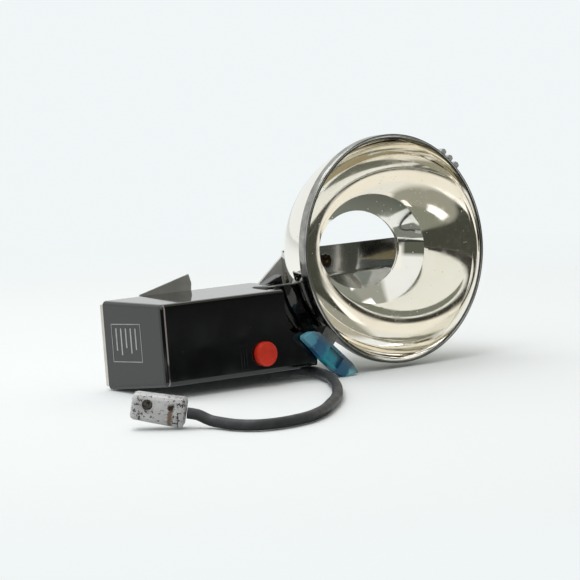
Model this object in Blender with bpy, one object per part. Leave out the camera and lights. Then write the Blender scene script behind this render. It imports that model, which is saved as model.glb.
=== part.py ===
"""A bulb flashgun with a large bowl reflector, lying on its side with its cord and plug.

Inside the frame of the case, +X runs along the case towards the reflector, -Y is the front
that the reflector faces, and +Z is the side that points up here. The case stands on its
lower back edge and leans back until the clip on the reflector's rim meets the table.
"""

import math

import bmesh
import bpy
from mathutils import Matrix, Vector

# Clearances
FIT = 0.0003
LOOSE_FIT = 0.0005

# Case
CASE_LENGTH = 0.1075
CASE_WIDTH = 0.0503
CASE_DEPTH = 0.0558
CASE_DRAFT = 0.0023
CASE_EDGE = 0.0025
CASE_WALL = 0.0028
FRONT_STEP = 0.0022
POCKET_LENGTH = 0.0215
POCKET_FLOOR = 0.025
POCKET_HEIGHT = 0.0225
POCKET_FILLET = 0.008
RELIEF_LENGTH = 0.013
RELIEF_BACK = 0.031
RELIEF_RISE = 0.0031
EAR_LENGTH = 0.0108
EAR_RISE = 0.0049
EAR_WIDTH = 0.007
EAR_OVERHANG = 0.0024
EAR_TIP = 0.0014
EAR_EDGE = 0.0004
EAR_BACK = 0.018

# Back plate and foot
PLATE_DEPTH = 0.0037
PLATE_SHEET = 0.001
PLATE_INSET = 0.002
PLATE_END_INSET = 0.0006
SCREW_RADIUS = 0.0042
SCREW_HEAD = 0.0016
SCREW_SLOT = 0.0012
SCREW_INSET = 0.012
SCREW_FAR_INSET = 0.0115
SCREW_HEIGHT = 0.024
SCREW_PLACES = ((SCREW_INSET, SCREW_HEIGHT), (CASE_LENGTH - SCREW_FAR_INSET, SCREW_HEIGHT))
SCREW_SHANK_RADIUS = 0.0016
SCREW_SHANK = 0.003
FOOT_SHEET = 0.0012
FOOT_START = 0.0294
FOOT_END = 0.065
FOOT_LOW = 0.012
FOOT_WING = 0.0091
FOOT_SIDE_RISE = 0.0006
FOOT_TIP_OUT = 0.0011
FOOT_TIP_DROP = 0.0053
FOOT_BEND_DROP = 0.0039
FOOT_APEX_IN = 0.0005
FOOT_FLANGE = 0.0075
FOOT_RIVET_RADIUS = 0.0022
FOOT_RIVET_SINK = 0.00005
FOOT_RIVET_LEFT = FOOT_START + 0.0106
FOOT_RIVET_RIGHT = FOOT_END - 0.009
FOOT_RIVET_HEIGHTS = (0.019, 0.036)
FOOT_RIVET_PLACES = tuple((x, z) for z in FOOT_RIVET_HEIGHTS for x in (FOOT_RIVET_LEFT, FOOT_RIVET_RIGHT))

# Push button and its switch
BUTTON_FROM_END = 0.0385
BUTTON_X = CASE_LENGTH - BUTTON_FROM_END
BUTTON_Z = 0.0135
BUTTON_RADIUS = 0.00705
BUTTON_PROUD = 0.0035
BUTTON_EDGE = 0.0011
BUTTON_FLANGE = 0.0011
BUTTON_FLANGE_THICK = 0.0012
BUTTON_TRAVEL = 0.0018
STEM_RADIUS = 0.0016
STEM_LENGTH = 0.006
SPRING_WIRE = 0.00035
SPRING_TURNS = 4
SPRING_RADIUS = 0.0033
BLADE_SHEET = 0.0004
BLADE_WIDTH = 0.0045
BLADE_GAP = 0.0012
BLADE_FOOT = 0.0035
BLADE_REACH = 0.0042

# Parts inside the case
BOARD_FROM_END = 0.0535
BOARD_START = CASE_LENGTH - BOARD_FROM_END
BOARD_LENGTH = 0.022
BOARD_THICK = 0.0014
BOARD_MARGIN = 0.0015
BOARD_DROP = 0.0103
POST_RADIUS = 0.0022
POST_DROP = 0.0123
POST_HEIGHT = CASE_WIDTH - POST_DROP
POST_INSETS = (0.0055, 0.0185)
POST_PLACES = tuple((BOARD_START + inset, POST_HEIGHT) for inset in POST_INSETS)
BATTERY_LENGTH = 0.048
BATTERY_WIDTH = 0.026
BATTERY_DEPTH = 0.016
BATTERY_EDGE = 0.0015
CONTACT_SHEET = 0.0005
CONTACT_BULGE = 0.0012
CONTACT_FLAT = 0.003
CAPACITOR_RADIUS = 0.0085
CAPACITOR_START = 0.012
CAPACITOR_TO_POST = 0.0053
CAPACITOR_LENGTH = POST_PLACES[0][0] - POST_RADIUS - CAPACITOR_TO_POST - CAPACITOR_START
CAP_STRAP_WIDTH = 0.008
CAP_STRAP_SHEET = 0.0006
RESISTOR_RADIUS = 0.0016
RESISTOR_LENGTH = 0.0095

# Reflector
BOWL_RADIUS = 0.0644
BOWL_OVERLAP = 0.0031
BOWL_DROP = 0.0007
BOWL_X = CASE_LENGTH - BOWL_OVERLAP + BOWL_RADIUS
BOWL_Z = BOWL_RADIUS - BOWL_DROP
RIM_FRONT = 0.0565
BOWL_BAND = 0.006
BOWL_DEPTH = 0.060
BOWL_CURVE_START = 10.0
BOWL_CURVE_END = 87.0
BOWL_SHEET = 0.0008
BOWL_SEGMENTS = 72
BOWL_STEPS = 14
OPENING_RADIUS = 0.023
OPENING_OFFSET = 0.0181
OPENING_DROP = 0.0017
RING_SHEET = 0.0012
RING_BEAD = 0.0011
LUG_ANGLE = 46.0
LUG_PITCH = 5.1
LUG_WIDTH = 0.0036
LUG_PROUD = 0.0032
LUG_LENGTH = 0.0048
LUG_EDGE = 0.0008

# Clip on the rim
CLIP_ANGLE = 227.4
CLIP_RISE = 0.0091
CLIP_WIDTH = 0.0115
CLIP_INNER = BOWL_RADIUS + CLIP_RISE
CLIP_OUTER = CLIP_INNER + CLIP_WIDTH
CLIP_START = -0.0179
CLIP_END = 0.0110
CLIP_NOSE = 0.0184
CLIP_THICK = 0.005
CLIP_EDGE = 0.0005
CLIP_CHANNEL = 0.0022
CLIP_CHANNEL_EDGE = 0.002
CLIP_CHANNEL_START = -0.0072
CLIP_CHANNEL_END = 0.0045
CLIP_TAPER = 0.0015
CLIP_HEAD = 0.0260
CLIP_HEAD_STEP = 0.003
CLIP_HEAD_INNER = CLIP_INNER + CLIP_HEAD_STEP
CLIP_BLOCK_START = -0.0150
CLIP_BLOCK_END = -0.0048
CLIP_BLOCK_DEPTH = 0.0075

# Lamp bridge behind the opening
BRIDGE_SHEET = 0.0012
BRIDGE_BEHIND = 0.0015
BRIDGE_TOP_RISE = 0.0023
BRIDGE_HEIGHT = 0.016
BRIDGE_BEND = 0.006
BRIDGE_BEND_ANGLE = 25.0
BRIDGE_LIP = 0.010
BRIDGE_REACH_IN = 0.030
BRIDGE_REACH_OUT = 0.056
BRIDGE_LEG_HEIGHT = 0.013
SOCKET_RADIUS = 0.0054
SOCKET_WALL = 0.0007
SOCKET_LENGTH = 0.0120
SOCKET_DROP = 0.0067
SOCKET_FLANGE = 0.0009
SOCKET_FLANGE_THICK = 0.0008
INSULATOR_THICK = 0.0015
CONTACT_PIN_RADIUS = 0.0012
CONTACT_PIN_LENGTH = 0.0013

# Neck between the case and the bowl, and the strap behind it
NECK_LOW = 0.014
NECK_TOP = 0.045
NECK_WALL = 0.0025
NECK_EDGE = 0.0006
NECK_FRONT = ((0.0, 0.024), (0.0062, 0.022), (0.0132, 0.0135), (0.0222, 0.006), (0.0292, 0.0))
ARM_SHEET = 0.0016
ARM_START = 0.0025
ARM_LOW = 0.028
ARM_WIDTH = 0.012
ARM_LENGTH = 0.044

# Cord and plug
CORD_RADIUS = 0.003
SLEEVE_LENGTH = 0.014
SLEEVE_RADIUS = 0.0035
SLEEVE_LIP = 0.0004
SLEEVE_INSET = 0.0105
SLEEVE_DEPTH_PLACE = 0.039
SLEEVE_LIFT = 0.0037
PLUG_LENGTH = 0.029
PLUG_HEIGHT = 0.0160
PLUG_FAR_HEIGHT = 0.0141
PLUG_THICK = 0.0125
PLUG_EDGE = 0.0022
PLUG_TILT = 10.0
PLUG_TURN = -42.0
PLUG_HOLE_RADIUS = 0.0029
PLUG_HOLE_DEPTH = 0.0095
PLUG_HOLE_PLACE = 0.0085
PLUG_HOLE_RISE = 0.0020
PLUG_PIN_RADIUS = 0.0008
CORD_STEP = 0.008


def clear_scene():
    for old in list(bpy.data.objects):
        bpy.data.objects.remove(old, do_unlink=True)


def make_material(name, colour, roughness, metallic=0.0, alpha=1.0):
    material = bpy.data.materials.new(name)
    material.use_nodes = True
    shader = material.node_tree.nodes["Principled BSDF"]
    shader.inputs["Base Color"].default_value = (*colour, 1.0)
    shader.inputs["Roughness"].default_value = roughness
    shader.inputs["Metallic"].default_value = metallic
    shader.inputs["Alpha"].default_value = alpha
    return material


def make_materials():
    return {
        "black": make_material("black_gloss", (0.012, 0.013, 0.014), 0.12),
        "plate": make_material("plate_metal", (0.70, 0.67, 0.62), 0.35, 1.0),
        "foot": make_material("satin_steel", (0.52, 0.51, 0.48), 0.38, 1.0),
        "steel": make_material("polished_steel", (0.62, 0.63, 0.63), 0.15, 1.0),
        "bowl": make_material("champagne_mirror", (0.90, 0.86, 0.74), 0.04, 1.0),
        "ring": make_material("ring_metal", (0.74, 0.73, 0.68), 0.12, 1.0),
        "red": make_material("red_plastic", (0.55, 0.02, 0.01), 0.3),
        "blue": make_material("blue_plastic", (0.03, 0.35, 0.50), 0.15, alpha=0.6),
        "cord": make_material("cord_rubber", (0.03, 0.03, 0.033), 0.5),
        "plug": make_material("worn_plug", (0.62, 0.60, 0.60), 0.45, 0.2),
        "brass": make_material("brass", (0.65, 0.50, 0.25), 0.3, 1.0),
        "fibre": make_material("fibre_board", (0.20, 0.10, 0.05), 0.7),
        "battery": make_material("battery_card", (0.10, 0.16, 0.35), 0.6),
        "can": make_material("capacitor_can", (0.55, 0.56, 0.57), 0.3, 1.0),
    }


def add_object(name, bm, material, parent):
    """Turns a bmesh into a named object under a parent, with its faces pointing out."""
    bmesh.ops.recalc_face_normals(bm, faces=bm.faces)
    mesh = bpy.data.meshes.new(name)
    bm.to_mesh(mesh)
    bm.free()
    obj = bpy.data.objects.new(name, mesh)
    bpy.context.scene.collection.objects.link(obj)
    obj.parent = parent
    if material:
        mesh.materials.append(material)
    return obj


def smooth(obj, degrees=35.0):
    obj.data.shade_smooth()
    obj.data.set_sharp_from_angle(angle=math.radians(degrees))
    return obj


def hide_cutter(obj):
    obj.hide_render = True
    obj.display_type = "WIRE"
    return obj


def add_boolean(obj, other, operation="DIFFERENCE"):
    modifier = obj.modifiers.new(other.name, "BOOLEAN")
    modifier.operation = operation
    modifier.solver = "EXACT"
    modifier.object = other
    hide_cutter(other)


def add_bevel(obj, width, segments=2, degrees=30.0):
    modifier = obj.modifiers.new("edges", "BEVEL")
    modifier.width = width
    modifier.segments = segments
    modifier.limit_method = "ANGLE"
    modifier.angle_limit = math.radians(degrees)


def append_box(bm, low, high):
    """Adds a box between two corners given as (x, depth, z), where depth grows to the front."""
    centre = [(a + b) / 2 for a, b in zip(low, high)]
    size = [b - a for a, b in zip(low, high)]
    place = Matrix.Translation((centre[0], -centre[1], centre[2]))
    scale = Matrix.Diagonal((size[0], size[1], size[2], 1.0))
    bmesh.ops.create_cube(bm, size=1.0, matrix=place @ scale)


def box_mesh(low, high):
    bm = bmesh.new()
    append_box(bm, low, high)
    return bm


def loft_mesh(sections):
    """Joins closed outlines with equally many points into one solid with flat ends."""
    bm = bmesh.new()
    rings = [[bm.verts.new(point) for point in section] for section in sections]
    count = len(rings[0])
    for near, far in zip(rings, rings[1:]):
        for i in range(count):
            j = (i + 1) % count
            bm.faces.new((near[i], near[j], far[j], far[i]))
    bm.faces.new(rings[0])
    bm.faces.new(list(reversed(rings[-1])))
    return bm


def front_outline(outline, depth):
    """Places an (x, z) outline at a depth from the back face of the case."""
    return [(x, -depth, z) for x, z in outline]


def extrude_front(outline, depth_from, depth_to):
    return loft_mesh([front_outline(outline, depth_from), front_outline(outline, depth_to)])


def side_outline(outline, x):
    """Places a (depth, z) outline at a place along the case."""
    return [(x, -depth, z) for depth, z in outline]


def extrude_along(outline, x_from, x_to):
    return loft_mesh([side_outline(outline, x_from), side_outline(outline, x_to)])


def arc_points(centre, radius, from_degrees, to_degrees, steps):
    span = to_degrees - from_degrees
    angles = [math.radians(from_degrees + span * i / steps) for i in range(steps + 1)]
    return [(centre[0] + radius * math.cos(a), centre[1] + radius * math.sin(a)) for a in angles]


def circle_points(centre, radius, count):
    return arc_points(centre, radius, 0.0, 360.0, count)[:-1]


def turned_front(centre, profile, count):
    """Turns an open (radius, depth) profile about a line that runs to the front at (x, z)."""
    sections = [front_outline(circle_points(centre, radius, count), depth) for radius, depth in profile]
    return loft_mesh(sections)


def turned_along(centre, profile, count):
    """Turns an open (radius, x) profile about a line along the case at (depth, z)."""
    sections = [side_outline(circle_points(centre, radius, count), x) for radius, x in profile]
    return loft_mesh(sections)


def turned_ring(centre, profile, count):
    """Turns a closed (radius, depth) profile about a line that runs to the front at (x, z)."""
    bm = bmesh.new()
    rings = []
    for radius, depth in profile:
        points = front_outline(circle_points(centre, radius, count), depth)
        rings.append([bm.verts.new(point) for point in points])
    for k, near in enumerate(rings):
        far = rings[(k + 1) % len(rings)]
        for i in range(count):
            j = (i + 1) % count
            bm.faces.new((near[i], near[j], far[j], far[i]))
    return bm


def case_side(depth):
    """How far the drafted sides of the case have moved in at a depth."""
    return CASE_DRAFT * depth / CASE_DEPTH


def case_outline(depth, inset=0.0):
    side = case_side(depth) + inset
    right = CASE_LENGTH - inset
    top = CASE_WIDTH - side
    return [(inset, side), (right, side), (right, top), (inset, top)]


def pocket_outline():
    start = CASE_LENGTH - POCKET_LENGTH
    beyond = CASE_LENGTH + CASE_WIDTH
    above = CASE_WIDTH * 2
    corner = (start + POCKET_FILLET, POCKET_HEIGHT + POCKET_FILLET)
    bend = arc_points(corner, POCKET_FILLET, 180.0, 270.0, 6)
    return [(start, above)] + bend + [(beyond, POCKET_HEIGHT), (beyond, above)]


def front_cavity_outline():
    inset = CASE_WALL + FRONT_STEP
    step = CASE_LENGTH - POCKET_LENGTH - CASE_WALL
    low_top = POCKET_HEIGHT - CASE_WALL
    right = CASE_LENGTH - RELIEF_LENGTH - CASE_WALL
    top = CASE_WIDTH - inset
    return [(inset, inset), (right, inset), (right, low_top), (step, low_top), (step, top), (inset, top)]


def make_case(parent, materials):
    behind = -2 * CASE_EDGE
    block = loft_mesh([
        front_outline(case_outline(behind), behind),
        front_outline(case_outline(CASE_DEPTH), CASE_DEPTH),
    ])
    case = add_object("case_shell", block, materials["black"], parent)
    add_bevel(case, CASE_EDGE, 3)
    reach = CASE_LENGTH + CASE_EDGE
    trim = box_mesh((-CASE_EDGE, 2 * behind, -CASE_EDGE), (reach, 0.0, CASE_WIDTH + CASE_EDGE))
    add_boolean(case, add_object("cut_back", trim, None, parent))
    pocket = extrude_front(pocket_outline(), POCKET_FLOOR, 2 * CASE_DEPTH)
    add_boolean(case, add_object("cut_pocket", pocket, None, parent))
    rear = extrude_front(case_outline(0.0, CASE_WALL), behind, POCKET_FLOOR - CASE_WALL)
    add_boolean(case, add_object("cut_rear_cavity", rear, None, parent))
    overlap = POCKET_FLOOR - 2 * CASE_WALL
    front = extrude_front(front_cavity_outline(), overlap, CASE_DEPTH - CASE_WALL)
    add_boolean(case, add_object("cut_front_cavity", front, None, parent))
    bore = turned_front(
        (BUTTON_X, BUTTON_Z),
        [(BUTTON_RADIUS + FIT, CASE_DEPTH - 2 * CASE_WALL), (BUTTON_RADIUS + FIT, CASE_DEPTH + CASE_WALL)],
        28,
    )
    add_boolean(case, add_object("cut_button_hole", bore, None, parent))
    relief = box_mesh(
        (CASE_LENGTH - RELIEF_LENGTH, RELIEF_BACK, -CASE_WALL),
        (CASE_LENGTH + CASE_WALL, CASE_DEPTH + CASE_WALL, RELIEF_RISE),
    )
    add_boolean(case, add_object("cut_cord_relief", relief, None, parent))
    groove = turned_along(
        sleeve_centre(),
        [(SLEEVE_RADIUS + FIT, sleeve_start() - FIT), (SLEEVE_RADIUS + FIT, CASE_LENGTH + CASE_EDGE)],
        20,
    )
    add_boolean(case, add_object("cut_cord_groove", groove, None, parent))
    return smooth(case)


def make_ear(parent, materials):
    """The black fin on the upper side of the case, which hooks over the end next to the bowl."""
    end = CASE_LENGTH + FIT
    base = CASE_WIDTH - case_side(EAR_BACK) + FIT
    low = NECK_TOP + FIT
    tip = base + EAR_RISE
    outline = [
        (CASE_LENGTH - EAR_LENGTH, base),
        (end, base),
        (end, low),
        (end + EAR_OVERHANG, low),
        (end + EAR_TIP, tip),
    ]
    bm = extrude_front(outline, EAR_BACK, EAR_BACK + EAR_WIDTH)
    ear = add_object("case_ear", bm, materials["black"], parent)
    add_bevel(ear, EAR_EDGE, 1)
    return ear


def make_back_plate(parent, materials):
    low = PLATE_INSET
    high = CASE_WIDTH - PLATE_INSET
    start = PLATE_END_INSET
    end = CASE_LENGTH - PLATE_END_INSET
    outline = [(start, low), (end, low), (end, high), (start, high)]
    plate = add_object(
        "back_plate", extrude_front(outline, -FIT - PLATE_DEPTH, -FIT), materials["plate"], parent
    )
    add_bevel(plate, 0.0008, 2)
    inner = [
        (start + PLATE_SHEET, low + PLATE_SHEET),
        (end - PLATE_SHEET, low + PLATE_SHEET),
        (end - PLATE_SHEET, high - PLATE_SHEET),
        (start + PLATE_SHEET, high - PLATE_SHEET),
    ]
    hollow = extrude_front(inner, -FIT - PLATE_DEPTH + PLATE_SHEET, CASE_WALL)
    add_boolean(plate, add_object("cut_plate_inside", hollow, None, parent))
    for k, place in enumerate(SCREW_PLACES):
        radius = SCREW_SHANK_RADIUS + FIT
        hole = turned_front(place, [(radius, -2 * PLATE_DEPTH), (radius, 0.0)], 16)
        add_boolean(plate, add_object(f"cut_screw_hole_{k + 1}", hole, None, parent))
    return smooth(plate)


def plate_back():
    """The depth of the outer face of the back plate."""
    return -FIT - PLATE_DEPTH


def make_cover_screws(parent, materials):
    for k, place in enumerate(SCREW_PLACES):
        seat = plate_back() - FIT
        profile = [
            (SCREW_RADIUS * 0.8, seat - SCREW_HEAD),
            (SCREW_RADIUS, seat - SCREW_HEAD * 0.55),
            (SCREW_RADIUS, seat),
            (SCREW_SHANK_RADIUS, seat),
            (SCREW_SHANK_RADIUS, seat + SCREW_SHANK),
        ]
        bm = turned_front(place, profile, 20)
        screw = add_object(f"cover_screw_{k + 1}", bm, materials["plate"], parent)
        half = SCREW_SLOT / 2
        low = (place[0] - SCREW_RADIUS * 2, seat - SCREW_HEAD * 2, place[1] - half)
        high = (place[0] + SCREW_RADIUS * 2, seat - SCREW_HEAD * 0.45, place[1] + half)
        slot = add_object(f"cut_screw_slot_{k + 1}", box_mesh(low, high), None, parent)
        add_boolean(screw, slot)
        smooth(screw)


def foot_face():
    """The depth of the foot's outer face, which a camera bracket rests on."""
    return plate_back() - FIT - FOOT_SHEET


def foot_edge():
    """The (x, z) line of the foot's right edge, from its foot to its pointed top."""
    top = CASE_WIDTH + FOOT_WING
    return [
        (FOOT_END, FOOT_LOW),
        (FOOT_END, CASE_WIDTH - FOOT_BEND_DROP),
        (FOOT_END + FOOT_TIP_OUT, top - FOOT_TIP_DROP),
        (FOOT_END - FOOT_APEX_IN, top),
    ]


def make_mounting_foot(parent, materials):
    """A bent sheet with a wing that rises past the case and a flange turned back at its end."""
    near = plate_back() - FIT
    edge = foot_edge()
    outline = [(FOOT_START, FOOT_LOW)] + edge + [(FOOT_START, CASE_WIDTH + FOOT_SIDE_RISE)]
    foot = add_object("mounting_foot", extrude_front(outline, foot_face(), near), materials["foot"], parent)
    inner = [(x - FOOT_SHEET, z) for x, z in reversed(edge[:-1])]
    flange = extrude_front(edge[:-1] + inner, near - FOOT_FLANGE, near - FOOT_SHEET / 2)
    add_boolean(foot, add_object("add_foot_flange", flange, None, parent), "UNION")
    for k, place in enumerate(FOOT_RIVET_PLACES):
        radius = FOOT_RIVET_RADIUS + FIT
        hole = turned_front(place, [(radius, foot_face() - FOOT_SHEET), (radius, near + FOOT_SHEET)], 14)
        add_boolean(foot, add_object(f"cut_rivet_hole_{k + 1}", hole, None, parent))
    return foot


def make_foot_rivets(parent, materials):
    """Flush rivets in the holes of the foot, sunk a little below its outer face."""
    profile = [(FOOT_RIVET_RADIUS, foot_face() + FOOT_RIVET_SINK), (FOOT_RIVET_RADIUS, plate_back() - FIT)]
    for k, place in enumerate(FOOT_RIVET_PLACES):
        rivet = turned_front(place, profile, 14)
        smooth(add_object(f"foot_rivet_{k + 1}", rivet, materials["steel"], parent))


def button_seat():
    """The depth of the case's inner front face, where the button's flange stops."""
    return CASE_DEPTH - CASE_WALL


def make_button(parent, materials):
    front = CASE_DEPTH + BUTTON_PROUD
    stop = button_seat() - FIT
    under = stop - BUTTON_FLANGE_THICK
    profile = [
        (STEM_RADIUS, under - STEM_LENGTH),
        (STEM_RADIUS, under),
        (BUTTON_RADIUS + BUTTON_FLANGE, under),
        (BUTTON_RADIUS + BUTTON_FLANGE, stop),
        (BUTTON_RADIUS, stop),
        (BUTTON_RADIUS, front - BUTTON_EDGE),
        (BUTTON_RADIUS - BUTTON_EDGE * 0.3, front - BUTTON_EDGE * 0.3),
        (BUTTON_RADIUS - BUTTON_EDGE, front),
    ]
    bm = turned_front((0.0, 0.0), [(radius, depth - CASE_DEPTH) for radius, depth in profile], 28)
    button = add_object("push_button", bm, materials["red"], parent)
    button.location = (BUTTON_X, -CASE_DEPTH, BUTTON_Z)
    return smooth(button)


def board_face():
    """The depth of the terminal board's front face, well below the stem of the button."""
    return button_seat() - FIT - BUTTON_FLANGE_THICK - STEM_LENGTH - BOARD_DROP


def make_board(parent, materials):
    low = CASE_WALL + FRONT_STEP + BOARD_MARGIN
    high = CASE_WIDTH - low
    face = board_face()
    box = box_mesh((BOARD_START, face - BOARD_THICK, low), (BOARD_START + BOARD_LENGTH, face, high))
    return add_object("terminal_board", box, materials["fibre"], parent)


def make_board_posts(parent, materials):
    profile = [(POST_RADIUS, board_face() + FIT), (POST_RADIUS, button_seat() - FIT)]
    for k, place in enumerate(POST_PLACES):
        post = turned_front(place, profile, 12)
        smooth(add_object(f"board_post_{k + 1}", post, materials["brass"], parent))


def make_button_spring(parent, materials):
    """A coil between the terminal board and the flange of the button, around the stem."""
    low = board_face() + FIT + SPRING_WIRE
    high = button_seat() - FIT - BUTTON_FLANGE_THICK - FIT - SPRING_WIRE
    curve = bpy.data.curves.new("button_spring", "CURVE")
    curve.dimensions = "3D"
    curve.bevel_depth = SPRING_WIRE
    curve.bevel_resolution = 1
    curve.use_fill_caps = True
    steps = SPRING_TURNS * 12
    spline = curve.splines.new("POLY")
    spline.points.add(steps)
    for i in range(steps + 1):
        turn = 2 * math.pi * i / 12
        depth = low + (high - low) * i / steps
        x = BUTTON_X + SPRING_RADIUS * math.cos(turn)
        z = BUTTON_Z + SPRING_RADIUS * math.sin(turn)
        spline.points[i].co = (x, -depth, z, 1.0)
    obj = bpy.data.objects.new("button_spring", curve)
    bpy.context.scene.collection.objects.link(obj)
    obj.parent = parent
    curve.materials.append(materials["steel"])
    return obj


def blade_heights():
    """The depths of the two blades' front faces, below the flange of the pressed button."""
    upper = button_seat() - FIT - BUTTON_FLANGE_THICK - BUTTON_TRAVEL - FIT
    return upper - BLADE_SHEET - BLADE_GAP, upper


def make_blades(parent, materials):
    """Two contact blades beside the spring, one over the other, worked by the button's flange."""
    face = board_face() + FIT
    t = BLADE_SHEET
    lower, upper = blade_heights()
    tip = BUTTON_X - SPRING_RADIUS - SPRING_WIRE - FIT
    near = tip - BLADE_REACH
    far = near - BLADE_GAP - t
    lower_outline = [
        (near, face), (near + BLADE_FOOT, face), (near + BLADE_FOOT, face + t), (near + t, face + t),
        (near + t, lower - t), (tip, lower - t), (tip, lower), (near, lower),
    ]
    upper_outline = [
        (far - BLADE_FOOT, face), (far + t, face), (far + t, upper - t), (tip, upper - t),
        (tip, upper), (far, upper), (far, face + t), (far - BLADE_FOOT, face + t),
    ]
    z_low = BUTTON_Z - BLADE_WIDTH / 2
    for name, outline in (("switch_blade_lower", lower_outline), ("switch_blade_upper", upper_outline)):
        sections = [[(x, -depth, z) for x, depth in outline] for z in (z_low, z_low + BLADE_WIDTH)]
        add_object(name, loft_mesh(sections), materials["brass"], parent)


def make_battery(parent, materials):
    start = CASE_WALL + FIT + CONTACT_SHEET + CONTACT_BULGE + FIT
    low = CASE_WALL + LOOSE_FIT
    near = FIT
    box = box_mesh(
        (start, near, low), (start + BATTERY_LENGTH, near + BATTERY_DEPTH, low + BATTERY_WIDTH)
    )
    battery = add_object("battery", box, materials["battery"], parent)
    add_bevel(battery, BATTERY_EDGE, 2)
    smooth(battery)
    return start, low


def contact_outline(base, side):
    """A flat strip with a shallow bulge towards the battery, as an (x, depth) line."""
    t = CONTACT_SHEET
    near = FIT
    far = near + BATTERY_DEPTH
    middle = (near + far) / 2
    crest = base + side * CONTACT_BULGE
    outer = [(base, near), (crest, middle - CONTACT_FLAT), (crest, middle + CONTACT_FLAT), (base, far)]
    inner = [(x + side * t, depth) for x, depth in reversed(outer)]
    return outer + inner


def make_battery_contacts(parent, materials, battery_start, battery_low):
    z_low = battery_low + BATTERY_WIDTH * 0.3
    z_high = battery_low + BATTERY_WIDTH * 0.7
    first = contact_outline(CASE_WALL + FIT, 1.0)
    beyond = battery_start + BATTERY_LENGTH + FIT + CONTACT_SHEET + CONTACT_BULGE
    second = contact_outline(beyond, -1.0)
    for name, outline in (("battery_contact_end", first), ("battery_contact_inner", second)):
        sections = [[(x, -depth, z) for x, depth in outline] for z in (z_low, z_high)]
        add_object(name, loft_mesh(sections), materials["brass"], parent)


def capacitor_centre():
    """The (depth, z) of the capacitor, tucked under the upper front corner of the case."""
    clear = CASE_WALL + FRONT_STEP + CAP_STRAP_SHEET + 2 * FIT
    return (CASE_DEPTH - CASE_WALL - CAPACITOR_RADIUS - CAP_STRAP_SHEET - 2 * FIT,
            CASE_WIDTH - clear - CAPACITOR_RADIUS)


def make_capacitor(parent, materials):
    start = CAPACITOR_START
    end = start + CAPACITOR_LENGTH
    neck = CAPACITOR_RADIUS * 0.85
    profile = [
        (neck, start), (CAPACITOR_RADIUS, start + 0.0012), (CAPACITOR_RADIUS, end - 0.004),
        (neck, end - 0.0032), (neck, end - 0.0024), (CAPACITOR_RADIUS, end - 0.0016), (neck, end),
    ]
    bm = turned_along(capacitor_centre(), profile, 24)
    return smooth(add_object("capacitor", bm, materials["can"], parent))


def make_capacitor_strap(parent, materials):
    """A strap round the capacitor that lies against the front and upper walls."""
    inner = CAPACITOR_RADIUS + FIT
    outer = inner + CAP_STRAP_SHEET
    centre = capacitor_centre()
    outline = arc_points(centre, outer, -60.0, 150.0, 18) + arc_points(centre, inner, 150.0, -60.0, 18)
    start = CAPACITOR_START + CAPACITOR_LENGTH * 0.4
    bm = extrude_along(outline, start, start + CAP_STRAP_WIDTH)
    return smooth(add_object("capacitor_strap", bm, materials["foot"], parent))


def make_resistor(parent, materials):
    depth = board_face() + FIT + RESISTOR_RADIUS
    z = POST_PLACES[0][1] - POST_RADIUS - 2 * RESISTOR_RADIUS
    start = BOARD_START + (BOARD_LENGTH - RESISTOR_LENGTH) / 2
    end = start + RESISTOR_LENGTH
    slim = RESISTOR_RADIUS * 0.8
    profile = [
        (slim, start), (RESISTOR_RADIUS, start + 0.0006), (RESISTOR_RADIUS, start + 0.002),
        (slim, start + 0.0026), (slim, end - 0.0026), (RESISTOR_RADIUS, end - 0.002),
        (RESISTOR_RADIUS, end - 0.0006), (slim, end),
    ]
    bm = turned_along((depth, z), profile, 12)
    return smooth(add_object("resistor", bm, materials["fibre"], parent))


def bowl_root():
    """The depth where the bowl's straight band ends and its curve starts."""
    return RIM_FRONT - BOWL_BAND


def bowl_bottom():
    """The depth of the lowest point of the bowl's outer curve."""
    return bowl_root() - BOWL_DEPTH


def bowl_axes():
    """The half axes of the ellipse behind the bowl's curve, and the depth of its centre."""
    start = math.radians(BOWL_CURVE_START)
    across = BOWL_RADIUS / math.cos(start)
    deep = BOWL_DEPTH / (1.0 - math.sin(start))
    return across, deep, bowl_root() + deep * math.sin(start)


def bowl_wall(shift):
    """(radius, depth) points of the bowl's curve, moved in by a shift, from its band inward."""
    across, deep, centre = bowl_axes()
    across -= shift
    deep -= shift
    first = math.asin((centre - bowl_root()) / deep)
    last = math.radians(BOWL_CURVE_END)
    angles = [first + (last - first) * i / BOWL_STEPS for i in range(BOWL_STEPS + 1)]
    return [(across * math.cos(angle), centre - deep * math.sin(angle)) for angle in angles]


def bowl_back(radial):
    """The depth of the bowl's outer face at a distance from its axis."""
    across, deep, centre = bowl_axes()
    share = radial / across
    return centre - deep * math.sqrt(1.0 - share * share)


def make_bowl(parent, materials):
    outer = [(BOWL_RADIUS, RIM_FRONT)] + bowl_wall(0.0)
    inner = list(reversed(bowl_wall(BOWL_SHEET))) + [(BOWL_RADIUS - BOWL_SHEET, RIM_FRONT)]
    bm = turned_ring((BOWL_X, BOWL_Z), outer + inner, BOWL_SEGMENTS)
    bowl = add_object("reflector_bowl", bm, materials["bowl"], parent)
    hole = turned_front(
        (BOWL_X + OPENING_OFFSET, BOWL_Z - OPENING_DROP),
        [(OPENING_RADIUS, bowl_bottom() - BOWL_SHEET), (OPENING_RADIUS, bowl_root())],
        48,
    )
    add_boolean(bowl, add_object("cut_lamp_opening", hole, None, parent))
    return smooth(bowl, 25.0)


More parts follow.
